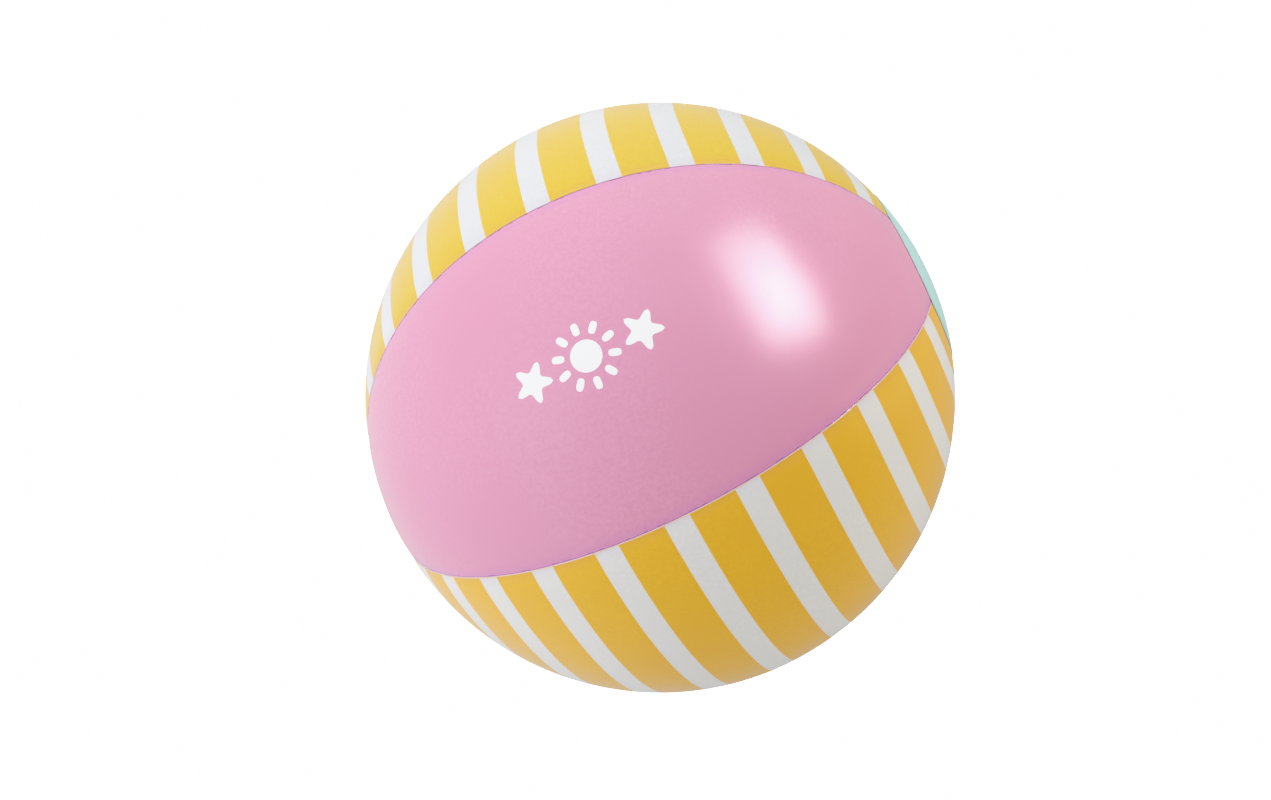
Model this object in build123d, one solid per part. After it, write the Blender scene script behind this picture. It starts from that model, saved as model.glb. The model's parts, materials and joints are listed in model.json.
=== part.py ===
from build123d import *
import os
from math import asin, cos, degrees, radians, sin, sqrt

# Inflatable beach ball, in millimetres: six film gores welded edge to edge, a round cap over the
# gore tips at each pole, and a push-in valve with a plug through one cap.
# The origin is the ball's centre. The ball lies with its pole axis leaning, and touches the
# floor at -Z.

# Ball
BALL_DIAMETER = 390.0
GORE_COUNT = 6
FILM = 0.3               # thickness of the film
LAP_WIDTH = 4.0          # how far a weld lap reaches under the next gore, at the equator
TIP_ANGLE = 6.0          # the gores stop this many degrees short of each pole
CAP_ARC_RADIUS = 60.0    # radius of a cap, measured over the surface

# How the ball lies
POLE_LEAN = 27.0         # the plain cap's axis points this many degrees above +X
GORE_ROLL = 26.4         # the first pink gore looks along -Y, turned up by this many degrees

# Valve, measured from the ball's surface at its pole, outwards positive
HOLE_RADIUS = 9.0
FLANGE_RADIUS = 15.0
FLANGE_THICKNESS = 0.8
FLANGE_BEAD = 10.2       # radius of the bead moulded round the hole
BEAD_SIZE = 0.5          # radius of the bead's section
STEM_RADIUS = 5.0
STEM_LENGTH = 20.0
STEM_MOUTH = 3.0         # how far the mouth stands out when the valve is pushed in
BORE_RADIUS = 3.0
SEAT_RADIUS = 3.5        # radius of the tapered plug seat at the mouth
SEAT_DEPTH = 4.5
LIP_RADIUS = 5.4         # rolled lip round the mouth
LIP_HEIGHT = 0.8
RIB_COUNT = 3            # bite ribs round the stem
RIB_PITCH = 3.0
RIB_SIZE = 0.3
FOOT_RADIUS = 6.5
FOOT_THICKNESS = 1.0
SKIRT_THICKNESS = 0.6
SKIRT_GAP = 0.05
SHANK_LENGTH = 4.0
SHANK_TOP_RADIUS = 3.3
SHANK_TIP_RADIUS = 2.5
HEAD_RADIUS = 6.5
HEAD_THICKNESS = 1.6
HEAD_FILLET = 0.5
DIMPLE_RADIUS = 3.6      # shallow dish in the top of the head
DIMPLE_DEPTH = 0.4
TAB_WIDTH = 6.0
TAB_LENGTH = 4.0
TAB_THICKNESS = 1.0
TAB_FILLET = 0.3
GRIP_COUNT = 3           # grip ridges across the pull tab
GRIP_PITCH = 1.3
GRIP_SIZE = 0.25
STRAP_WIDTH = 5.0
STRAP_THICKNESS = 0.8
STRAP_LOW = 1.3          # underside of the strap's lower leaf
STRAP_REACH = 12.0       # distance of the strap's fold from the valve's axis
STRAP_GAP = 0.05         # between the strap's upper leaf and the plug's head
FLAP_RADIUS = 4.2
FLAP_THICKNESS = 0.5
FLAP_GAP = 0.05
FLAP_HINGE = 5.0         # distance of the flap's hinge line from the valve's axis
FLAP_TAB_WIDTH = 5.0
ANCHOR_WIDTH = 1.0       # radial width of the pad that the flap is welded to

RADIUS = BALL_DIAMETER / 2
GORE_ANGLE = 360 / GORE_COUNT
LAP_ANGLE = degrees(LAP_WIDTH / RADIUS)
CAP_ANGLE = degrees(CAP_ARC_RADIUS / RADIUS)
STEM_ROOT = STEM_MOUTH - STEM_LENGTH
FLANGE_TOP = FILM + FLANGE_THICKNESS
STRAP_TOP = STEM_MOUTH + STRAP_THICKNESS
PIVOT_HEIGHT = (STRAP_LOW + STRAP_TOP) / 2
FLAP_TOP = STEM_ROOT - FLAP_GAP
FLAP_PIVOT = FLAP_TOP - FLAP_THICKNESS / 2

# The pole frame has +Z through the plain cap and +X through the middle of the first pink gore.
POLE = Vector(cos(radians(POLE_LEAN)), 0, sin(radians(POLE_LEAN)))
UPWARD = Vector(-sin(radians(POLE_LEAN)), 0, cos(radians(POLE_LEAN)))
FRONT = Vector(0, -1, 0) * cos(radians(GORE_ROLL)) + UPWARD * sin(radians(GORE_ROLL))
AT_REST = Plane(origin=(0, 0, 0), x_dir=FRONT, z_dir=POLE).location

# The valve frame has +Z outwards through the valve and its origin on the ball's surface.
VALVE_PLACE = AT_REST * Pos(0, 0, -RADIUS) * Rot(180, 0, 0)


def on_sphere(radius, polar):
    """A point of the XZ plane, at a radius and an angle from the pole."""
    return (radius * sin(radians(polar)), 0, radius * cos(radians(polar)))


def film_band(inner, outer, polar_from, polar_to, turn=360.0, start=0.0):
    """Spherical film between two radii and two polar angles, turned about the pole."""
    middle = (polar_from + polar_to) / 2
    outline = Curve()
    for radius in (inner, outer):
        outline += ThreePointArc(*[on_sphere(radius, p) for p in (polar_from, middle, polar_to)])
    for polar in (polar_from, polar_to):
        outline += Line(on_sphere(inner, polar), on_sphere(outer, polar))
    return Rot(0, 0, start) * revolve(make_face(outline), Axis.Z, turn)


def turned(*points):
    """A solid turned about the valve's axis from its outline's (radius, height) corners."""
    outline = Polyline(*[(r, 0, z) for r, z in points], close=True)
    return revolve(make_face(outline), Axis.Z, 360)


def striped_gore(index):
    """Film panel from pole to pole, lying over the laps of the plain panels beside it."""
    start = (index - 0.5) * GORE_ANGLE
    return film_band(RADIUS - FILM, RADIUS, TIP_ANGLE, 180 - TIP_ANGLE, GORE_ANGLE, start)


def pink_gore(index):
    """Plain film panel with thick weld edges and a lap under the striped panel on each side."""
    low_edge = (index - 0.5) * GORE_ANGLE
    high_edge = low_edge + GORE_ANGLE
    tips = (TIP_ANGLE, 180 - TIP_ANGLE)
    open_angle = GORE_ANGLE - 2 * LAP_ANGLE
    panel = film_band(RADIUS - FILM, RADIUS, *tips, open_angle, low_edge + LAP_ANGLE)
    for weld_start in (low_edge, high_edge - LAP_ANGLE):
        panel += film_band(RADIUS - 2 * FILM, RADIUS, *tips, LAP_ANGLE, weld_start)
    for lap_start in (low_edge - LAP_ANGLE, high_edge):
        panel += film_band(RADIUS - 2 * FILM, RADIUS - FILM, *tips, LAP_ANGLE, lap_start)
    return panel


def end_cap():
    """Round film disc over the gore tips at the plain pole."""
    return film_band(RADIUS, RADIUS + FILM, 0, CAP_ANGLE)


def valve_cap():
    """Round film disc over the gore tips at the valve's pole, with the valve hole."""
    hole_angle = degrees(asin(HOLE_RADIUS / RADIUS))
    return film_band(RADIUS, RADIUS + FILM, 180 - CAP_ANGLE, 180 - hole_angle)


def valve_flange():
    """Ring welded on the cap round the valve hole, with a bead at the hole's edge."""
    hole_angle, rim_angle = [degrees(asin(r / RADIUS)) for r in (HOLE_RADIUS, FLANGE_RADIUS)]
    ring = film_band(RADIUS + FILM, RADIUS + FLANGE_TOP, 180 - rim_angle, 180 - hole_angle)
    bead_depth = RADIUS + FLANGE_TOP - BEAD_SIZE / 2
    bead = Torus(FLANGE_BEAD, BEAD_SIZE)
    return ring + Pos(0, 0, -sqrt(bead_depth**2 - FLANGE_BEAD**2)) * bead


def valve_skirt():
    """Soft funnel from the hole's edge in to the stem's foot."""
    top_outer = HOLE_RADIUS - SKIRT_GAP
    foot_inner = FOOT_RADIUS + SKIRT_GAP
    top = FLANGE_THICKNESS
    return turned(
        (top_outer - SKIRT_THICKNESS, top),
        (top_outer, top),
        (foot_inner + SKIRT_THICKNESS, STEM_ROOT),
        (foot_inner, STEM_ROOT),
    )


def valve_stem():
    """Tube with a tapered plug seat, a lip, bite ribs, a foot, and the pad that holds the flap."""
    tube = turned(
        (BORE_RADIUS, STEM_ROOT),
        (FOOT_RADIUS, STEM_ROOT),
        (FOOT_RADIUS, STEM_ROOT + FOOT_THICKNESS),
        (STEM_RADIUS, STEM_ROOT + FOOT_THICKNESS),
        (STEM_RADIUS, STEM_MOUTH - LIP_HEIGHT),
        (LIP_RADIUS, STEM_MOUTH - LIP_HEIGHT),
        (LIP_RADIUS, STEM_MOUTH),
        (SEAT_RADIUS, STEM_MOUTH),
        (BORE_RADIUS, STEM_MOUTH - SEAT_DEPTH),
    )
    for rib in range(RIB_COUNT):
        tube += Pos(0, 0, STEM_MOUTH - (rib + 2) * RIB_PITCH) * Torus(STEM_RADIUS, RIB_SIZE)
    pad_height = FLAP_GAP + FLAP_THICKNESS
    pad_start = FLAP_HINGE + FLAP_THICKNESS / 2 + FLAP_GAP
    pad = Box(ANCHOR_WIDTH, FLAP_TAB_WIDTH, pad_height, align=(Align.MIN, Align.CENTER, Align.MAX))
    return tube + Pos(pad_start, 0, STEM_ROOT) * pad


def check_flap():
    """Film disc over the bore's inner end, with a tab that runs to its hinge line."""
    disc = Cylinder(FLAP_RADIUS, FLAP_THICKNESS)
    tab = Box(FLAP_HINGE, FLAP_TAB_WIDTH, FLAP_THICKNESS, align=(Align.MIN, Align.CENTER, Align.CENTER))
    roll = Pos(FLAP_HINGE, 0, 0) * Rot(90, 0, 0) * Cylinder(FLAP_THICKNESS / 2, FLAP_TAB_WIDTH)
    return Pos(0, 0, FLAP_PIVOT) * (disc + tab + roll)


def pull_tab():
    """Round-nosed tab at the plug head's free side, with grip ridges across it."""
    base = Rectangle(TAB_LENGTH, TAB_WIDTH, align=(Align.MAX, Align.CENTER))
    nose = Pos(-TAB_LENGTH, 0, 0) * Circle(TAB_WIDTH / 2)
    tab = extrude(base + nose, TAB_THICKNESS)
    tab = fillet(tab.edges().group_by(Axis.Z)[-1], TAB_FILLET)
    for ridge in range(GRIP_COUNT):
        place = Pos(-TAB_LENGTH / 2 - ridge * GRIP_PITCH, 0, TAB_THICKNESS)
        tab += place * Rot(90, 0, 0) * Cylinder(GRIP_SIZE, TAB_WIDTH / 2)
    return tab


def valve_plug():
    """Stopper with a tapered shank, a dished head and a pull tab."""
    bottom = (Align.CENTER, Align.CENTER, Align.MIN)
    head = Cylinder(HEAD_RADIUS, HEAD_THICKNESS, align=bottom)
    head = fillet(head.edges().group_by(Axis.Z)[-1], HEAD_FILLET)
    dish = Cone(DIMPLE_RADIUS - DIMPLE_DEPTH, DIMPLE_RADIUS, DIMPLE_DEPTH, align=bottom)
    head -= Pos(0, 0, HEAD_THICKNESS - DIMPLE_DEPTH) * dish
    shank = turned(
        (0, STEM_MOUTH - SHANK_LENGTH),
        (SHANK_TIP_RADIUS, STEM_MOUTH - SHANK_LENGTH),
        (SHANK_TOP_RADIUS, STEM_MOUTH),
        (0, STEM_MOUTH),
    )
    return shank + Pos(0, 0, STEM_MOUTH) * (head + Pos(1 - HEAD_RADIUS, 0, 0) * pull_tab())


def plug_strap():
    """Strip that runs out from the stem, folds over, and comes back to the plug's head."""
    low_inner = STRAP_LOW + STRAP_THICKNESS
    top_inner = STRAP_TOP - STRAP_THICKNESS
    outer_fold = (STRAP_TOP - STRAP_LOW) / 2
    inner_fold = outer_fold - STRAP_THICKNESS
    outline = Curve() + [
        Line((0, 0, STRAP_LOW), (STRAP_REACH, 0, STRAP_LOW)),
        ThreePointArc(
            (STRAP_REACH, 0, STRAP_LOW),
            (STRAP_REACH + outer_fold, 0, PIVOT_HEIGHT),
            (STRAP_REACH, 0, STRAP_TOP),
        ),
        Line((STRAP_REACH, 0, STRAP_TOP), (0, 0, STRAP_TOP)),
        Line((0, 0, STRAP_TOP), (0, 0, top_inner)),
        Line((0, 0, top_inner), (STRAP_REACH, 0, top_inner)),
        ThreePointArc(
            (STRAP_REACH, 0, top_inner),
            (STRAP_REACH + inner_fold, 0, PIVOT_HEIGHT),
            (STRAP_REACH, 0, low_inner),
        ),
        Line((STRAP_REACH, 0, low_inner), (0, 0, low_inner)),
        Line((0, 0, low_inner), (0, 0, STRAP_LOW)),
    ]
    strip = extrude(make_face(outline), STRAP_WIDTH / 2, both=True)
    stem_room = Cylinder(STEM_RADIUS, 4 * STEM_MOUTH)
    head_room = Pos(0, 0, STEM_MOUTH - STRAP_GAP) * Cylinder(
        HEAD_RADIUS + STRAP_GAP, STEM_MOUTH, align=(Align.CENTER, Align.CENTER, Align.MIN)
    )
    return strip - stem_room - head_room


def save(name, shape):
    """Write one piece where it lies at rest."""
    export_step(shape, f"parts/{name}.step")


os.makedirs("parts", exist_ok=True)

for pair in range(GORE_COUNT // 2):
    save(f"gore_pink_{pair + 1}", AT_REST * pink_gore(2 * pair))
    save(f"gore_striped_{pair + 1}", AT_REST * striped_gore(2 * pair + 1))
for piece in (end_cap, valve_cap, valve_flange):
    save(piece.__name__, AT_REST * piece())
for piece in (valve_skirt, valve_stem, check_flap, valve_plug, plug_strap):
    save(piece.__name__, VALVE_PLACE * piece())

bore_length = STEM_LENGTH - SEAT_DEPTH
for name, (x, z) in {
    "bore mouth": (0, STEM_MOUTH - SEAT_DEPTH),
    "valve mouth": (0, STEM_MOUTH),
    "plug hinge": (STRAP_REACH, PIVOT_HEIGHT),
    "flap hinge": (FLAP_HINGE, FLAP_PIVOT),
}.items():
    place = (VALVE_PLACE * Pos(x, 0, z)).position
    print(name, [round(v, 4) for v in place])
for name, direction in {"valve axis": (0, 0, 1), "hinge axis": (0, 1, 0)}.items():
    turn = (VALVE_PLACE * Pos(*direction)).position - VALVE_PLACE.position
    print(name, [round(v, 8) for v in turn])
print("bore length", bore_length, "valve travel", -STEM_ROOT)
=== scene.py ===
import json
import math

import bpy
import numpy as np
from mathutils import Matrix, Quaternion, Vector


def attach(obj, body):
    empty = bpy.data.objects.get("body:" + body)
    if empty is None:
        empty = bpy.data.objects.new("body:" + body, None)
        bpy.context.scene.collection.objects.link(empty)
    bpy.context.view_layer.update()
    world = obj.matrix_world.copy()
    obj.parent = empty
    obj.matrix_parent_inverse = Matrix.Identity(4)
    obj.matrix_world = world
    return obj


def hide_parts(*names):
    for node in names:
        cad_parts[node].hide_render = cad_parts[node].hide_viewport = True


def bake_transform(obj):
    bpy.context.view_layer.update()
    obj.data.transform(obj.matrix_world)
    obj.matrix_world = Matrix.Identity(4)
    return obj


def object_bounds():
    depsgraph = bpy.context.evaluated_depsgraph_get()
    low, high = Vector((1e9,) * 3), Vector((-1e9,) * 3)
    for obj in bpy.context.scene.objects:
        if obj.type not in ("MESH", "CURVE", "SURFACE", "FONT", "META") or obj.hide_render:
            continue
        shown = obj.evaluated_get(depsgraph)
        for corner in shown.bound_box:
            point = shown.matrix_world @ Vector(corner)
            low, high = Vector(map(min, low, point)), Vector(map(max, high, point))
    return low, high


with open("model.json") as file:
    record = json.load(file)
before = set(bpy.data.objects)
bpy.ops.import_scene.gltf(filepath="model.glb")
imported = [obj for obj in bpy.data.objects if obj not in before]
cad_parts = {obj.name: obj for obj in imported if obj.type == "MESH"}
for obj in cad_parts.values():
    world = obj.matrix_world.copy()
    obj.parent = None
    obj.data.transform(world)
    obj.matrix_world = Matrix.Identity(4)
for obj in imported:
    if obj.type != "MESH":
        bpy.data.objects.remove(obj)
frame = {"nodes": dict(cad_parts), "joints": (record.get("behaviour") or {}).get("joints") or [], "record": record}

cad_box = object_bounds()

# The looks of an inflatable beach ball, in metres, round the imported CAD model.
# Lengths below are in millimetres and angles in degrees until MM and DEG turn them.
MM = 0.001
DEG = math.pi / 180

# ---------------------------------------------------------------- the frame
record = frame["record"]
joints = {j["name"]: j for j in frame["joints"]}
mounts = {m["name"]: m for m in record["mounts"]}
gore_nodes = sorted(n for n in frame["nodes"] if n.startswith("gore_"))
pink_nodes = [n for n in gore_nodes if "pink" in n]

RADIUS = (cad_box[1].z - cad_box[0].z) / 2
FLOOR_Z = cad_box[0].z
GORE_COUNT = len(gore_nodes)
GORE_ANGLE = 2 * math.pi / GORE_COUNT

# The pole frame: POLE through the plain cap, FRONT through the middle of the first pink gore.
POLE = -np.array(mounts["pump_port"]["axis"], float)
SIDE = -np.array(joints["plug_swing"]["axis"], float)
FRONT = np.cross(SIDE, POLE)

# ---------------------------------------------------------------- film sizes
FILM = 0.3 * MM
SKIN = FILM * 0.92              # thickness of the meshes, so that two layers never touch
TIP_ANGLE = 6.0 * DEG           # the gores stop this far from each pole
CAP_ANGLE = 60.0 * MM / RADIUS  # a cap's edge, as an angle from its pole
HOLE_RADIUS = 9.0 * MM

VALLEY_DEPTH = 0.6 * MM         # the film sinks a little towards each weld
VALLEY_WIDTH = 8.0 * MM
PUCKER = 0.03 * MM              # height of the puckers beside a weld, at the equator
POLE_PUCKER = 0.1 * MM          # and what is added to it towards the poles
PUCKER_REACH = 13.0 * MM
PUCKER_WAVES = ((14.3, 0.5, 1.0), (21.7, 1.0, 2.3), (34.1, 0.7, 4.1))  # pitch mm, size, phase
CALM_FROM, CALM_TO = 9.0 * DEG, 24.0 * DEG   # the puckers fade out towards the middle of a cap

ROW_STEP = 0.8 * DEG
MIDDLE_COLUMNS = 26
# Mesh columns near a weld, mm from the gore's edge; a pink gore's lap is the part below 0.
STRIPED_EDGE = (0.0, 0.12, 0.7, 0.9, 1.3, 2.4, 3.6, 4.2, 5.2, 7.0, 9.5, 12.5, 16.0)
PINK_EDGE = (-4.0, -2.5, -1.0, 0.0, 0.3, 0.6, 0.9, 1.3, 2.0, 3.0, 4.2, 5.2, 7.0, 9.5, 12.5, 16.0)
MARGIN = 0.75                   # unprinted margin along one edge of a striped gore, mm; its pale colour is also a painted highlight where that edge faces the light
FLASH_AND_SHADE = 0.75                    # weld flash that shows along the other edge, on the pink gore, mm; along the pink gore's low side its dark colour is partly painted shade from the striped gore's edge
PRESS_FROM, PRESS_TO = 0.9, 4.2  # band pressed by the welding bar, mm from the edge
PRESS_DEPTH = 0.07 * MM
EDGE_DROP = 0.08 * MM           # a striped gore's edge is a little lower than the film beside it
BEAD_PLACE, BEAD_WIDTH = 0.5, 0.3   # the pink gore's weld bead, mm from its edge
BEAD_RISE = 0.2 * MM

STRIPE_PITCH = 12.76 * DEG
STRIPE_WHITE = 4.47 * DEG
STRIPE_START = 88.65 * DEG      # middle of the white band nearest the equator


def smooth(x, low, high):
    """0 below low, 1 above high, smooth between."""
    t = np.clip((x - low) / (high - low), 0, 1)
    return t * t * (3 - 2 * t)


def on_ball(polar, lon, radius):
    """Points in the shared frame at angles from the pole, longitudes and radii."""
    across = radius * np.sin(polar)
    return (
        (across * np.cos(lon))[..., None] * FRONT
        + (across * np.sin(lon))[..., None] * SIDE
        + (radius * np.cos(polar))[..., None] * POLE
    )


def seam_offset(polar, lon):
    """Distance over the surface from the nearest seam, and that seam's number."""
    turns = lon / GORE_ANGLE - 0.5
    seam = np.round(turns)
    return np.abs(turns - seam) * GORE_ANGLE * RADIUS * np.sin(polar), seam % GORE_COUNT


def film_rise(polar, lon):
    """How far the inflated film stands off the plain sphere: weld valleys and their puckers."""
    gap, seam = seam_offset(polar, lon)
    half_width = GORE_ANGLE / 2 * RADIUS * np.sin(polar)
    reach = np.minimum(PUCKER_REACH, 0.4 * half_width)
    wave = 0
    for pitch, size, phase in PUCKER_WAVES:
        wave = wave + size * np.sin(2 * np.pi * RADIUS * polar / (pitch * MM) + phase * (seam + 1))
    height = PUCKER + POLE_PUCKER * np.abs(np.cos(polar)) ** 5
    valley = -VALLEY_DEPTH * np.exp(-((gap / VALLEY_WIDTH) ** 2))
    from_pole = np.minimum(polar, math.pi - polar)
    calm = smooth(from_pole, CALM_FROM, CALM_TO)
    return calm * (valley + height * wave * np.exp(-((gap / np.maximum(reach, 1e-5)) ** 2)))


# ---------------------------------------------------------------- mesh tools
def grid_faces(rows, cols, first, wrap=False, inward=False):
    """Quads over a grid of points; outward where rows run away from the pole."""
    faces = []
    for i in range(rows - 1):
        for j in range(cols if wrap else cols - 1):
            a = first + i * cols + j
            b = first + i * cols + (j + 1) % cols
            quad = (a, a + cols, b + cols, b)
            faces.append(quad[::-1] if inward else quad)
    return faces


def shell_faces(rows, cols, wrap):
    """Closed shell from an outer grid and the inner grid of the same size after it."""
    size = rows * cols
    faces = grid_faces(rows, cols, 0, wrap) + grid_faces(rows, cols, size, wrap, inward=True)
    for j in range(cols if wrap else cols - 1):
        k = (j + 1) % cols
        faces.append((j, k, size + k, size + j))
        last = (rows - 1) * cols
        faces.append((last + k, last + j, size + last + j, size + last + k))
    if not wrap:
        for i in range(rows - 1):
            a, b = i * cols, (i + 1) * cols
            faces.append((b, a, size + a, size + b))
            faces.append((a + cols - 1, b + cols - 1, size + b + cols - 1, size + a + cols - 1))
    return faces


def new_piece(name, points, faces, materials, indices=None, sharp=35):
    """A mesh object in the shared frame, smooth-shaded except over sharp edges."""
    mesh = bpy.data.meshes.new(name)
    mesh.from_pydata(np.asarray(points).reshape(-1, 3).tolist(), [], faces)
    for material in materials:
        mesh.materials.append(material)
    if indices is not None:
        mesh.polygons.foreach_set("material_index", indices)
    mesh.polygons.foreach_set("use_smooth", [True] * len(mesh.polygons))
    mesh.set_sharp_from_angle(angle=sharp * DEG)
    mesh.update()
    piece = bpy.data.objects.new(name, mesh)
    bpy.context.scene.collection.objects.link(piece)
    return piece


def point_values(piece, name, values):
    """Stores one number per point for the materials to read."""
    attribute = piece.data.attributes.new(name, "FLOAT", "POINT")
    attribute.data.foreach_set("value", np.asarray(values, np.float32).ravel())


# ---------------------------------------------------------------- materials
class Nodes:
    """A short way to write a material's nodes."""

    def __init__(self, name):
        self.material = bpy.data.materials.new(name)
        self.material.use_nodes = True
        self.tree = self.material.node_tree
        self.shader = self.tree.nodes["Principled BSDF"]

    def add(self, kind, **settings):
        """A new node with its settings."""
        node = self.tree.nodes.new(kind)
        for key, value in settings.items():
            setattr(node, key, value)
        return node

    def link(self, source, target):
        """Joins an output to an input."""
        self.tree.links.new(source, target)

    def feed(self, target, value):
        """Links an output, or sets a constant, on an input."""
        if isinstance(value, bpy.types.NodeSocket):
            self.link(value, target)
        else:
            target.default_value = value

    def math(self, operation, a, b=0.0):
        """One sum on two inputs."""
        node = self.add("ShaderNodeMath", operation=operation)
        self.feed(node.inputs[0], a)
        self.feed(node.inputs[1], b)
        return node.outputs[0]

    def place(self):
        """The point's place on the object."""
        return self.add("ShaderNodeTexCoord").outputs["Object"]

    def noise(self, scale, detail=3.0, roughness=0.5):
        """Soft noise through space."""
        node = self.add("ShaderNodeTexNoise")
        self.link(self.place(), node.inputs["Vector"])
        node.inputs["Scale"].default_value = scale
        node.inputs["Detail"].default_value = detail
        node.inputs["Roughness"].default_value = roughness
        return node.outputs["Fac"]

    def remap(self, value, from_low, from_high, to_low, to_high):
        """A range turned smoothly into another one, with its ends held."""
        node = self.add("ShaderNodeMapRange", interpolation_type="SMOOTHSTEP")
        self.feed(node.inputs["Value"], value)
        for key, number in (
            ("From Min", from_low),
            ("From Max", from_high),
            ("To Min", to_low),
            ("To Max", to_high),
        ):
            node.inputs[key].default_value = number
        return node.outputs["Result"]

    def mix(self, factor, a, b):
        """Colour between two."""
        node = self.add("ShaderNodeMix", data_type="RGBA")
        self.feed(node.inputs["Factor"], factor)
        self.feed(node.inputs["A"], a)
        self.feed(node.inputs["B"], b)
        return node.outputs["Result"]

    def attribute(self, name):
        """A number stored on the mesh's points."""
        return self.add("ShaderNodeAttribute", attribute_name=name).outputs["Fac"]

    def bump(self, height, distance, normal=None):
        """Normal of a fine relief, on top of another one's."""
        node = self.add("ShaderNodeBump")
        self.feed(node.inputs["Height"], height)
        node.inputs["Distance"].default_value = distance
        if normal is not None:
            self.link(normal, node.inputs["Normal"])
        return node.outputs["Normal"]


def rgb(red, green, blue):
    """Linear colour from sRGB numbers of 0 to 255."""
    linear = []
    for value in (red, green, blue):
        c = value / 255
        linear.append(c / 12.92 if c <= 0.04045 else ((c + 0.055) / 1.055) ** 2.4)
    return (*linear, 1.0)


# Sizes of the noise are in waves per metre.
CLOUD_SIZE, SPECK_SIZE, SHEEN_SIZE, GRAIN_SIZE = 7.0, 480.0, 40.0, 700.0
GRAIN_DEPTH = 0.01 * MM
FILM_GLOSS, FILM_GLOSS_RANGE = 0.245, 0.02
RIB_PITCH = 1.4                 # of the welding bar's fine ribs, mm
RIB_DEPTH = 0.015 * MM
TINT_REACH, TINT = 9.0, 0.45    # the ink is tinted this far from a weld, mm, and this much
GAP_FROM, GAP_TO, GAP_PAINTED_SHADE = 1.8, 2.6, 0.8     # painted shade: a dark line just outside a cap's edge, in its step, mm
FLOW_SIZE, VINYL_SHEEN_SIZE, VINYL_GRAIN_SIZE = 90.0, 260.0, 900.0
VINYL_GRAIN_DEPTH = 0.008 * MM
VINYL_GLOSS_RANGE = 0.03


def film_material(name, colour, shade, near_weld=None, gloss=FILM_GLOSS, welded=True):
    """Printed soft PVC film: faint mottling, a pressed and ribbed weld band, a tint near the welds, and painted
    shade along a cap's edge.
    """
    n = Nodes(name)
    cloud = n.remap(n.noise(CLOUD_SIZE, 2.0), 0.35, 0.65, 0.0, 1.0)
    tone = n.mix(cloud, colour, shade)
    speck = n.remap(n.noise(SPECK_SIZE, 3.0, 0.7), 0.35, 0.65, 0.0, 1.0)
    tone = n.mix(speck, tone, shade)
    if near_weld is not None:
        tone = n.mix(n.remap(n.attribute("seam"), 0.0, TINT_REACH, TINT, 0.0), tone, near_weld)
    if welded:
        # Painted shade: a dark ring on the gores just outside a cap's edge, where the cap's step would shade the
        # film.
        painted_gap_shade = n.remap(n.attribute("cap_gap"), GAP_FROM, GAP_TO, GAP_PAINTED_SHADE, 0.0)
        tone = n.mix(painted_gap_shade, tone, tuple(0.35 * c for c in shade[:3]) + (1.0,))
    n.link(tone, n.shader.inputs["Base Color"])
    low, high = gloss - FILM_GLOSS_RANGE, gloss + FILM_GLOSS_RANGE
    rough = n.remap(n.noise(SHEEN_SIZE, 3.0), 0.3, 0.7, low, high)
    n.link(rough, n.shader.inputs["Roughness"])
    normal = None
    if welded:
        pressed = n.math(
            "MULTIPLY",
            n.remap(n.attribute("seam"), PRESS_FROM, PRESS_FROM + 0.4, 0.0, 1.0),
            n.remap(n.attribute("seam"), PRESS_TO - 0.4, PRESS_TO, 1.0, 0.0),
        )
        rib = n.math("SINE", n.math("MULTIPLY", n.attribute("along"), 2 * math.pi / RIB_PITCH))
        normal = n.bump(n.math("MULTIPLY", rib, pressed), RIB_DEPTH)
    grain = n.bump(n.noise(GRAIN_SIZE, 1.0), GRAIN_DEPTH, normal)
    n.link(grain, n.shader.inputs["Normal"])
    n.shader.inputs["Specular IOR Level"].default_value = 0.42
    return n.material


def vinyl_material(name, colour, shade, gloss, depth):
    """Moulded milky vinyl with faint flow marks."""
    n = Nodes(name)
    flow = n.remap(n.noise(FLOW_SIZE, 2.0), 0.3, 0.7, 0.0, 1.0)
    n.link(n.mix(flow, colour, shade), n.shader.inputs["Base Color"])
    low, high = gloss - VINYL_GLOSS_RANGE, gloss + VINYL_GLOSS_RANGE
    n.link(n.remap(n.noise(VINYL_SHEEN_SIZE, 2.0), 0.3, 0.7, low, high), n.shader.inputs["Roughness"])
    n.link(n.bump(n.noise(VINYL_GRAIN_SIZE, 1.0), VINYL_GRAIN_DEPTH), n.shader.inputs["Normal"])
    n.shader.inputs["Subsurface Weight"].default_value = depth
    n.shader.inputs["Subsurface Scale"].default_value = 0.003
    return n.material


PINK = rgb(241, 160, 191)
PINK_SHADE = rgb(236, 152, 184)
PINK_WELD = rgb(222, 140, 202)
# The three striped gores' inks differ, with painted light and shade: the first, lowest as the ball lies, is warmer
# and its white brighter; the third, highest, is more lemon.
YELLOWS_WITH_PAINTED_LIGHT = (rgb(252, 190, 43), rgb(241, 190, 44), rgb(239, 196, 46))
YELLOW_SHADES_WITH_PAINTED_LIGHT = (rgb(247, 183, 41), rgb(236, 183, 42), rgb(235, 189, 44))
YELLOW_WELD = rgb(236, 172, 74)
WHITES_WITH_PAINTED_LIGHT = (rgb(243, 241, 236), rgb(233, 234, 233), rgb(232, 233, 235))
WHITE_SHADES_WITH_PAINTED_LIGHT = (rgb(237, 235, 230), rgb(227, 228, 228), rgb(226, 228, 231))
WHITE_WELD = rgb(226, 217, 230)
MINT = rgb(187, 240, 238)
MINT_SHADE = rgb(179, 233, 231)
# Weld bead colour, partly painted shade cast by the striped gore's edge.
BEAD_AND_PAINTED_SHADE = rgb(172, 96, 140)
FOLD = rgb(186, 118, 190)
# Unprinted margin colour, partly a painted highlight on the striped gore's lit edge.
CREAM_MARGIN_AND_HIGHLIGHT = rgb(250, 206, 180)
INK_PAINTED_GLOW = 0.15                 # painted light: the white ink glows a little, so it looks brighter than its film

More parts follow.
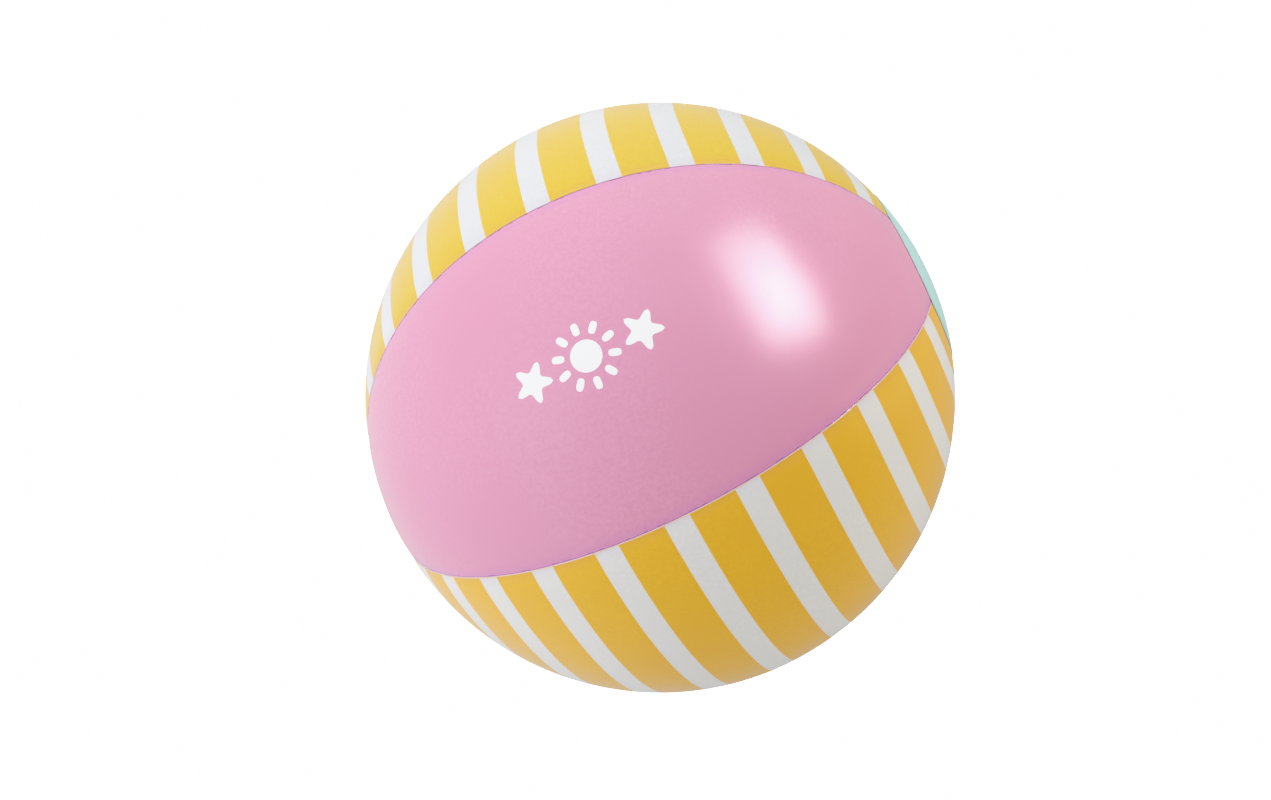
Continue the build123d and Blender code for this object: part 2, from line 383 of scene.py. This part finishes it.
pink_film = film_material("pink_film", PINK, PINK_SHADE, PINK_WELD)
yellow_films = [
    film_material(f"yellow_film_{i + 1}", YELLOWS_WITH_PAINTED_LIGHT[i], YELLOW_SHADES_WITH_PAINTED_LIGHT[i], YELLOW_WELD) for i in range(3)
]
white_films = [
    film_material(f"white_film_{i + 1}", WHITES_WITH_PAINTED_LIGHT[i], WHITE_SHADES_WITH_PAINTED_LIGHT[i], WHITE_WELD) for i in range(3)
]
mint_film = film_material("mint_film", MINT, MINT_SHADE)
bead_and_shade_film = film_material("weld_bead_and_painted_shade", BEAD_AND_PAINTED_SHADE, rgb(162, 90, 132))
fold_film = film_material("weld_fold", FOLD, rgb(178, 112, 182))
margin_and_highlight_film = film_material("film_margin_and_painted_highlight", CREAM_MARGIN_AND_HIGHLIGHT, rgb(246, 200, 174))
print_ink = film_material("print_ink", rgb(255, 255, 255), rgb(250, 250, 252), gloss=0.4, welded=False)
ink_shader = print_ink.node_tree.nodes["Principled BSDF"]
# Painted light: the ink glows a little, though it is no lamp.
ink_shader.inputs["Emission Color"].default_value = (1.0, 1.0, 1.0, 1.0)
ink_shader.inputs["Emission Strength"].default_value = INK_PAINTED_GLOW
valve_vinyl = vinyl_material("valve_vinyl", rgb(220, 227, 228), rgb(213, 221, 222), 0.36, 0.2)
skirt_vinyl = vinyl_material("skirt_vinyl", rgb(208, 218, 220), rgb(199, 210, 213), 0.36, 0.25)
flap_film = vinyl_material("flap_film", rgb(216, 226, 229), rgb(208, 219, 222), 0.22, 0.2)


# ---------------------------------------------------------------- gores
def stripe_edges():
    """Angles from the plain pole where the ink changes."""
    edges = []
    for k in range(-8, 9):
        middle = STRIPE_START + k * STRIPE_PITCH
        edges += [middle - STRIPE_WHITE / 2, middle + STRIPE_WHITE / 2]
    return np.array([e for e in edges if TIP_ANGLE < e < math.pi - TIP_ANGLE])


def gore_rows():
    """Angles from the pole of a gore's rows: even, with rows at each ink change and cap edge."""
    exact = list(stripe_edges())
    for step in (0.0, 0.45, 0.8, 1.4):
        near = CAP_ANGLE + step * MM / RADIUS
        exact += [near, math.pi - near]
    exact = np.sort(exact)
    even = np.linspace(TIP_ANGLE, math.pi - TIP_ANGLE, round((math.pi - 2 * TIP_ANGLE) / ROW_STEP))
    clear = [e for e in even if np.abs(exact - e).min() > 0.3 * ROW_STEP]
    return np.sort(np.concatenate([clear, exact]))


def gore_columns(polar, edge):
    """Longitudes from the gore's middle for each row: close together at the welds."""
    half = GORE_ANGLE / 2 * RADIUS * np.sin(polar)[:, None]
    near = np.array(edge)[None, :] * MM
    shrink = np.minimum(1, 0.85 * half / near.max())
    low = -half + near * shrink
    t = np.linspace(-1, 1, MIDDLE_COLUMNS + 2)[None, 1:-1]
    across = np.concatenate([low, t * -low[:, -1:], -low[:, ::-1]], axis=1)
    return across / (RADIUS * np.sin(polar)[:, None])


def in_white(polar):
    """Whether an angle from the pole lies in a white band."""
    turns = (polar - STRIPE_START) / STRIPE_PITCH
    return np.abs(turns - np.round(turns)) * STRIPE_PITCH < STRIPE_WHITE / 2


def build_gore(node, number):
    """One film panel as a closed thin shell; pink ones run under the striped ones at both welds."""
    pink = node in pink_nodes
    polar = gore_rows()
    turn = gore_columns(polar, PINK_EDGE if pink else STRIPED_EDGE)
    rows, cols = turn.shape
    polar_grid = np.repeat(polar[:, None], cols, axis=1)
    lon = turn + number * GORE_ANGLE
    inside = (GORE_ANGLE / 2 - np.abs(turn)) * RADIUS * np.sin(polar_grid)
    rise = film_rise(polar_grid, lon)
    near = inside / MM
    if pink:
        bead = BEAD_RISE * np.exp(-(((near - BEAD_PLACE) / BEAD_WIDTH) ** 2))
        rise = rise - FILM * (1 - smooth(near, 0.0, 3.0)) + bead
        rise = np.where(near < 0.01, film_rise(polar_grid, lon) - FILM, rise)
    else:
        pressed = smooth(near, PRESS_FROM, PRESS_FROM + 0.4) * (1 - smooth(near, PRESS_TO - 0.6, PRESS_TO))
        rise = rise - PRESS_DEPTH * pressed - EDGE_DROP * (near < 0.05)
    outer = on_ball(polar_grid, lon, RADIUS + rise)
    inner = on_ball(polar_grid, lon, RADIUS + rise - SKIN)
    faces = shell_faces(rows, cols, wrap=False)
    middle_near = (near[:-1, :-1] + near[1:, 1:]) / 2
    low_side = turn[:-1, :-1] + turn[1:, 1:] < 0
    if pink:
        # On the low side the weld bead colour is darkened as painted shade from the striped gore's edge.
        ink = np.where(middle_near < FLASH_AND_SHADE, np.where(low_side, 1, 2), 0)
        materials = [pink_film, bead_and_shade_film, fold_film]
    else:
        white = np.broadcast_to(in_white((polar[:-1] + polar[1:]) / 2)[:, None], low_side.shape)
        # The pale margin on the low side is the unprinted film brightened as a painted highlight on that lit edge.
        ink = np.where(low_side & (middle_near < MARGIN), 2, np.where(white, 1, 0))
        materials = [yellow_films[number // 2], white_films[number // 2], margin_and_highlight_film]
    indices = np.zeros(len(faces), int)
    indices[: ink.size] = ink.ravel()
    if not pink:
        indices[ink.size:] = 1
    piece = new_piece(node + "_film", np.stack([outer, inner]), faces, materials, indices.tolist())
    both = np.stack([near, near])
    point_values(piece, "seam", np.maximum(both, 0))
    point_values(piece, "along", np.stack([polar_grid, polar_grid]) * RADIUS / MM)
    from_pole = np.minimum(polar_grid, math.pi - polar_grid)
    point_values(piece, "cap_gap", np.stack([from_pole - CAP_ANGLE] * 2) * RADIUS / MM)
    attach(piece, "ball_skin")
    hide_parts(node)


for pair in range(GORE_COUNT // 2):
    build_gore(f"gore_pink_{pair + 1}", 2 * pair)
    build_gore(f"gore_striped_{pair + 1}", 2 * pair + 1)


# ---------------------------------------------------------------- caps
CAP_COLUMNS = 240
FLANGE_EDGE = 15.0    # mm; the cap gathers a little round the valve's flange
GATHER = 0.1 * MM
CAP_EDGE_DROP = 0.1 * MM
GATHER_REACH = 7.0    # mm
CAP_EDGE = (0.0, 0.12, 0.5, 0.9, 1.3, 2.4, 3.6, 4.2, 5.2)
CAP_STEP = 0.35 * DEG
RIDGE = 0.14 * MM     # the welds under a cap show through it
RIDGE_WIDTH = 2.4 * MM


def build_cap(node, inner_angle, at_valve):
    """Round disc over the gore tips, with its weld ring and the welds that show through it."""
    ring = [CAP_ANGLE - e * MM / RADIUS for e in CAP_EDGE]
    inside = np.arange(inner_angle, ring[-1] - CAP_STEP / 2, CAP_STEP)
    polar = np.concatenate([inside, ring[::-1]])
    lon = np.linspace(0, 2 * math.pi, CAP_COLUMNS, endpoint=False)
    from_pole, lon = np.meshgrid(polar, lon, indexing="ij")
    polar_grid = math.pi - from_pole if at_valve else from_pole
    gap, _ = seam_offset(polar_grid, lon)
    shown = smooth(from_pole, TIP_ANGLE, TIP_ANGLE + 1.5 * DEG)
    rise = film_rise(polar_grid, lon) + FILM + shown * RIDGE * np.exp(-((gap / RIDGE_WIDTH) ** 2))
    near = (CAP_ANGLE - from_pole) * RADIUS / MM
    pressed = smooth(near, PRESS_FROM, PRESS_FROM + 0.4) * (1 - smooth(near, PRESS_TO - 0.6, PRESS_TO))
    rise = rise - PRESS_DEPTH * pressed - CAP_EDGE_DROP * (near < 0.05)
    if at_valve:
        out = from_pole * RADIUS / MM - FLANGE_EDGE
        gather = smooth(out, 0.3, 2.5) * np.exp(-((out / GATHER_REACH) ** 2))
        rise = rise + GATHER * gather * (np.sin(22 * lon) + 0.6 * np.sin(37 * lon + 1.3))
    outer = on_ball(polar_grid, lon, RADIUS + rise)
    inner = on_ball(polar_grid, lon, RADIUS + rise - SKIN)
    rows, cols = polar_grid.shape
    faces = shell_faces(rows, cols, wrap=True)
    if at_valve:
        faces = [f[::-1] for f in faces]
    piece = new_piece(node + "_film", np.stack([outer, inner]), faces, [mint_film])
    point_values(piece, "seam", np.stack([near, near]))
    point_values(piece, "along", np.zeros(2 * near.size))
    point_values(piece, "cap_gap", np.full(2 * near.size, 9.0))
    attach(piece, "ball_skin")
    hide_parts(node)


build_cap("end_cap", 0.02 * DEG, at_valve=False)
build_cap("valve_cap", HOLE_RADIUS / RADIUS, at_valve=True)


# ---------------------------------------------------------------- printed mark
MARK_RISE = 0.06 * MM           # the white ink stands this far off the film
MARK_ROOT = 0.1 * MM            # and goes this far into it
SUN_DISC, RAY_COUNT, RAY_MIDDLE = 9.0, 10, 15.9     # mm
RAY_LENGTH, RAY_WIDTH = 7.2, 4.2
STAR_PLACE, STAR_SIZE = 33.5, 12.0
OUTLINE_POINTS = 40


def round_outline(size):
    """Circle round the origin."""
    turn = np.linspace(0, 2 * math.pi, OUTLINE_POINTS, endpoint=False)
    return size * np.stack([np.cos(turn), np.sin(turn)], axis=1)


def rounded_bar(length, width):
    """Outline of a bar with full round corners, round the origin."""
    turn = np.linspace(0, 2 * math.pi, OUTLINE_POINTS, endpoint=False)
    c, s = np.cos(turn), np.sin(turn)
    return np.stack([
        length / 2 * np.sign(c) * np.abs(c) ** 0.7,
        width / 2 * np.sign(s) * np.abs(s) ** 0.7,
    ], axis=1)


def soft_star(size):
    """Outline of a rounded star with five points, round the origin."""
    turn = np.linspace(0, 2 * math.pi, OUTLINE_POINTS, endpoint=False)
    reach = size * (0.72 + 0.24 * np.cos(5 * turn) + 0.04 * np.cos(10 * turn))
    return np.stack([reach * np.cos(turn), reach * np.sin(turn)], axis=1)


def placed(outline, along, across, turn=0.0):
    """An outline turned and moved: its centre, and its points relative to that."""
    c, s = math.cos(turn), math.sin(turn)
    return (along, across), outline @ np.array([[c, s], [-s, c]])


def mark_shapes():
    """A sun between two stars, along the gore, in mm."""
    shapes = [placed(round_outline(SUN_DISC), 0, 0)]
    for k in range(RAY_COUNT):
        way = 2 * math.pi * (k + 0.5) / RAY_COUNT
        bar = rounded_bar(RAY_LENGTH, RAY_WIDTH)
        shapes.append(placed(bar, RAY_MIDDLE * math.cos(way), RAY_MIDDLE * math.sin(way), way))
    for side in (-1, 1):
        shapes.append(placed(soft_star(STAR_SIZE), side * STAR_PLACE, 0, math.pi / 2))
    return shapes


def on_pink_gore(plan, rise):
    """Points of a flat plan in mm, laid on the middle of the first pink gore; along is towards the cap."""
    polar = math.pi / 2 - plan[..., 0] * MM / RADIUS
    lon = plan[..., 1] * MM / RADIUS
    return on_ball(polar, lon, RADIUS + film_rise(polar, lon) + rise)


def build_mark():
    """The white ink of the printed mark: thin closed spots on the film."""
    points, faces = [], []
    scales = (0.03, 0.35, 0.7, 0.93, 1.0)
    rises = (MARK_RISE, MARK_RISE, MARK_RISE, MARK_RISE, 0.4 * MARK_RISE)
    for centre, outline in mark_shapes():
        first = len(points)
        for scale, rise in zip(scales, rises):
            points += list(on_pink_gore(np.array(centre) + scale * outline, rise))
        for scale in scales[::-1]:
            points += list(on_pink_gore(np.array(centre) + scale * outline, -MARK_ROOT))
        rings = 2 * len(scales)
        faces += [f[::-1] for f in grid_faces(rings, OUTLINE_POINTS, first, wrap=True)]
        faces.append(tuple(first + j for j in range(OUTLINE_POINTS))[::-1])
        faces.append(tuple(first + (rings - 1) * OUTLINE_POINTS + j for j in range(OUTLINE_POINTS)))
    piece = new_piece("printed_mark", points, faces, [print_ink])
    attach(piece, "ball_skin")


build_mark()


# ---------------------------------------------------------------- valve
# In the valve frame z is outward along the valve's axis, with 0 on the ball's surface, and x is
# towards the strap's fold.
SKIRT_TOP, SKIRT_FOOT = 0.8, -17.0
SKIRT_MOUTH, SKIRT_NECK = 8.97, 7.15
SKIRT_WALL = 0.6
STRAP_MIDDLES = (1.7, 3.4)      # heights of the strap's two leaves
STRAP_REACH = 12.0
STRAP_ENDS = (4.2, 5.4)         # the leaves run a little way into the stem and the plug's head
STRAP_WIDTH, STRAP_WAIST = 5.0, 4.2
STRAP_THICK = 0.8


def at_valve(x, y, z):
    """Points in the shared frame from the valve frame's, which are in mm."""
    x, y, z = (np.asarray(v, float)[..., None] * MM for v in (x, y, z))
    return x * FRONT - y * SIDE - (RADIUS + z) * POLE


def build_skirt():
    """Soft funnel that lets the stem sink into the ball, with slack folds between its ends."""
    steps = np.linspace(0, 1, 40)
    turn = np.linspace(0, 2 * math.pi, 120, endpoint=False)
    s, a = np.meshgrid(steps, turn, indexing="ij")
    slack = np.sin(math.pi * s) ** 2
    fold = slack * (0.16 * np.sin(9 * a + 5 * s) + 0.1 * np.sin(14 * a + 1.7 - 3 * s))
    ease = s * s * (3 - 2 * s)
    outer = SKIRT_MOUTH + (SKIRT_NECK - SKIRT_MOUTH) * ease + fold
    z = SKIRT_TOP + (SKIRT_FOOT - SKIRT_TOP) * s
    rounding = 0.25 * np.exp(-((s / 0.02) ** 2))
    walls = []
    for radius, height in ((outer - rounding, z), ((outer - SKIRT_WALL + rounding)[::-1], z[::-1])):
        walls.append(at_valve(radius * np.cos(a), radius * np.sin(a), height))
    points = np.concatenate(walls)
    rings, around = points.shape[:2]
    faces = [f[::-1] for f in grid_faces(rings, around, 0, wrap=True)]
    last = (rings - 1) * around
    for j in range(around):
        k = (j + 1) % around
        faces.append((last + j, last + k, k, j))
    piece = new_piece("valve_skirt_film", points, faces, [skirt_vinyl], sharp=60)
    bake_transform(piece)
    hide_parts("valve_skirt")


def strap_route():
    """Middle line of the strap from the stem, round the fold, to the plug: x and z in mm."""
    low, high = STRAP_MIDDLES
    bend = (high - low) / 2
    out = [(x, low) for x in np.linspace(STRAP_ENDS[0], STRAP_REACH, 16)]
    turn = np.linspace(-math.pi / 2, math.pi / 2, 19)[1:-1]
    fold = [(STRAP_REACH + bend * math.cos(t), (low + high) / 2 + bend * math.sin(t)) for t in turn]
    back = [(x, high) for x in np.linspace(STRAP_REACH, STRAP_ENDS[1], 14)]
    return np.array(out + fold + back)


def build_strap():
    """Folded strip that keeps the plug on the stem: thinner and narrower at the fold."""
    route = strap_route()
    tangent = np.gradient(route, axis=0)
    tangent /= np.linalg.norm(tangent, axis=1)[:, None]
    normal = np.stack([-tangent[:, 1], tangent[:, 0]], axis=1)
    fold = smooth(route[:, 0], STRAP_REACH - 3, STRAP_REACH)
    wide = STRAP_WIDTH + (STRAP_WAIST - STRAP_WIDTH) * fold
    thick = STRAP_THICK - 0.25 * fold
    turn = np.linspace(0, 2 * math.pi, 48, endpoint=False)
    c, s = np.cos(turn), np.sin(turn)
    across = np.sign(c) * np.abs(c) ** 0.3
    through = np.sign(s) * np.abs(s) ** 0.6
    y = wide[:, None] / 2 * across
    lift = thick[:, None] / 2 * through
    x = route[:, 0:1] + normal[:, 0:1] * lift
    z = route[:, 1:2] + normal[:, 1:2] * lift
    points = at_valve(x, y, z)
    rings, around = x.shape
    faces = grid_faces(rings, around, 0, wrap=True)
    faces.append(tuple(range(around)))
    faces.append(tuple((rings - 1) * around + j for j in range(around))[::-1])
    piece = new_piece("plug_strap_strip", points, faces, [skirt_vinyl], sharp=50)
    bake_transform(piece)
    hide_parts("plug_strap")


build_skirt()
build_strap()
for node, material in (
    ("valve_flange", valve_vinyl),
    ("valve_stem", valve_vinyl),
    ("valve_plug", valve_vinyl),
    ("check_flap", flap_film),
):
    mesh = frame["nodes"][node].data
    mesh.materials.clear()
    mesh.materials.append(material)


# ---------------------------------------------------------------- stage, light and camera
# Scene brightness, and what is shown for it; everything from WHITE_POINT up is white.
SHOULDER = ((0.5, 0.5), (0.8, 0.72), (1.15, 0.91), (1.6, 0.955))
WHITE_POINT = 3.0
FLOOR_SIZE = 30.0
FLOOR_GLOW = 2.8
BACKDROP_GLOW = 4.0
SHINE_SPOT = Vector((0.37, -0.73, 0.57)) * RADIUS   # where the key lamps are aimed
GRID_ANGLE = 12 * DEG
BANK_FADE = 0.65                # the bank is dimmer at its upper end
BANK_CORE = 1.4                 # and towards its rim
DIM_SIDE = (0.5, -0.84, -0.2)   # the studio is darker on the ball's front side
SHEEN_SIDE = (-1.0, 0.0, 0.25)  # and its reflections are brighter on this side

# Fills: name, direction, distance, width, height, watts and colour.
FILLS = (
    ("top", (0.1, 0.1, 1.0), 2.0, 1.6, 1.2, 7, (1.0, 1.0, 1.0)),
    ("left", (-1.0, -0.9, 0.3), 2.2, 1.2, 1.2, 12, (0.88, 0.94, 1.12)),
    ("right", (1.0, -0.05, 0.02), 2.2, 1.4, 0.4, 13, (1.0, 0.88, 0.68)),
)


def look_along(thing, direction, roll=0.0):
    """Turns a camera or lamp so that it looks along a direction, rolled by an angle about it."""
    thing.rotation_mode = "QUATERNION"
    thing.rotation_quaternion = Vector(direction).to_track_quat("-Z", "Y") @ Quaternion((0, 0, 1), roll)


def build_floor():
    """Large plain white floor that the ball lies on; it glows a little, as a lit sweep does."""
    corners = [(x * FLOOR_SIZE, y * FLOOR_SIZE, FLOOR_Z) for x, y in ((-1, -1), (1, -1), (1, 1), (-1, 1))]
    n = Nodes("floor")
    n.shader.inputs["Base Color"].default_value = (0.5, 0.5, 0.5, 1.0)
    n.shader.inputs["Roughness"].default_value = 0.9
    n.shader.inputs["Specular IOR Level"].default_value = 0.0
    n.shader.inputs["Emission Color"].default_value = (1.0, 1.0, 1.0, 1.0)
    n.shader.inputs["Emission Strength"].default_value = FLOOR_GLOW
    floor = new_piece("floor", corners, [(0, 1, 2, 3)], [n.material])
    floor.visible_diffuse = False
    floor.visible_glossy = False


def area_light(name, direction, distance, width, height, watts, roll=0.0):
    """Softbox that looks at the ball's centre from a direction."""
    data = bpy.data.lights.new(name, "AREA")
    data.shape = "RECTANGLE"
    data.size = width
    data.size_y = height
    data.energy = watts
    lamp = bpy.data.objects.new(name, data)
    bpy.context.scene.collection.objects.link(lamp)
    way = Vector(direction).normalized()
    lamp.location = way * distance
    look_along(lamp, -way, roll)
    return lamp


def gridded_bank(name, direction, distance, length, width, watts, roll, rows, columns):
    """Bank of small gridded softboxes that shine on one spot; it only makes highlights."""
    way = Vector(direction).normalized()
    bank = (-way).to_track_quat("-Z", "Y") @ Quaternion((0, 0, 1), roll)
    along, across = bank @ Vector((1, 0, 0)), bank @ Vector((0, 1, 0))
    tall, wide = length / rows, width / columns
    for i in range(rows):
        for j in range(columns):
            low = (i + 0.5) / rows - 0.5
            side = (j + 0.5) / columns - 0.5
            share = 1 + BANK_FADE * low - BANK_CORE * (low * low + side * side)
            power = watts / (rows * columns) * share
            lamp = area_light(f"{name}_{i + 1}_{j + 1}", direction, distance, tall, wide, power, roll)
            lamp.location += along * length * low + across * width * side
            look_along(lamp, SHINE_SPOT - lamp.location, roll)
            lamp.data.spread = GRID_ANGLE
            lamp.visible_diffuse = False


def graded(tree, side, start, end, low, high):
    """World level that goes from low to high as the direction turns towards a side."""
    facing = tree.nodes.new("ShaderNodeVectorMath")
    facing.operation = "DOT_PRODUCT"
    facing.inputs[1].default_value = Vector(side).normalized()
    tree.links.new(tree.nodes.new("ShaderNodeTexCoord").outputs["Generated"], facing.inputs[0])
    level = tree.nodes.new("ShaderNodeMapRange")
    level.interpolation_type = "SMOOTHSTEP"
    for key, value in (("From Min", start), ("From Max", end), ("To Min", low), ("To Max", high)):
        level.inputs[key].default_value = value
    tree.links.new(facing.outputs["Value"], level.inputs["Value"])
    return level.outputs["Result"]


def build_world(bright, dim, mirrored):
    """Studio fill, graded from bright to dim, and graded again in reflections; what is seen is white."""
    world = bpy.data.worlds.new("studio")
    world.use_nodes = True
    tree = world.node_tree
    nodes, links = tree.nodes, tree.links
    fill = nodes["Background"]
    fill.inputs["Color"].default_value = (1, 1, 1, 1)
    level = graded(tree, DIM_SIDE, 0.1, 0.85, bright, dim)
    path = nodes.new("ShaderNodeLightPath")
    shine = nodes.new("ShaderNodeMapRange")
    shine.inputs["To Min"].default_value = 1.0
    links.new(graded(tree, SHEEN_SIDE, -0.7, 0.7, *mirrored), shine.inputs["To Max"])
    links.new(path.outputs["Is Glossy Ray"], shine.inputs["Value"])
    strength = nodes.new("ShaderNodeMath")
    strength.operation = "MULTIPLY"
    links.new(level, strength.inputs[0])
    links.new(shine.outputs["Result"], strength.inputs[1])
    links.new(strength.outputs[0], fill.inputs["Strength"])
    seen = nodes.new("ShaderNodeBackground")
    seen.inputs["Color"].default_value = (1, 1, 1, 1)
    seen.inputs["Strength"].default_value = BACKDROP_GLOW
    mix = nodes.new("ShaderNodeMixShader")
    links.new(path.outputs["Is Camera Ray"], mix.inputs["Fac"])
    links.new(fill.outputs[0], mix.inputs[1])
    links.new(seen.outputs[0], mix.inputs[2])
    links.new(mix.outputs[0], nodes["World Output"].inputs["Surface"])
    bpy.context.scene.world = world


def build_camera():
    """The photographed view: from the front, looking a little down."""
    elevation = 17.2 * DEG
    distance = 4.71 * RADIUS
    aim_left, aim_down = 1.05 * DEG, 0.1 * DEG
    data = bpy.data.cameras.new("camera")
    data.lens = 38.5
    data.sensor_width = 36.0
    camera = bpy.data.objects.new("camera", data)
    bpy.context.scene.collection.objects.link(camera)
    camera.location = (0, -distance * math.cos(elevation), distance * math.sin(elevation))
    down = elevation + aim_down
    ahead = math.cos(down)
    look_along(camera, (-math.sin(aim_left) * ahead, math.cos(aim_left) * ahead, -math.sin(down)))
    bpy.context.scene.camera = camera


def soft_shoulder():
    """Plain display colours, with the brightest tones rolled off gently to white."""
    view = bpy.context.scene.view_settings
    view.view_transform = "Standard"
    view.use_curve_mapping = True
    mapping = view.curve_mapping
    mapping.extend = "HORIZONTAL"
    mapping.clip_max_x = WHITE_POINT
    for curve in mapping.curves[:3]:
        curve.points[1].location = (WHITE_POINT, 1)
        for tone in SHOULDER:
            curve.points.new(*tone)
    mapping.update()


build_floor()
build_world(bright=1.15, dim=0.45, mirrored=(0.33, 0.9))
gridded_bank(
    "key",
    direction=(0.572, -0.343, 0.745),
    distance=1.5,
    length=1.0,
    width=0.6,
    watts=0.365,
    roll=-96 * DEG,
    rows=5,
    columns=3,
)
for name, direction, distance, width, height, watts, colour in FILLS:
    fill_lamp = area_light(name, direction, distance, width, height, watts)
    fill_lamp.data.color = colour
    fill_lamp.visible_glossy = False
build_camera()
soft_shoulder()
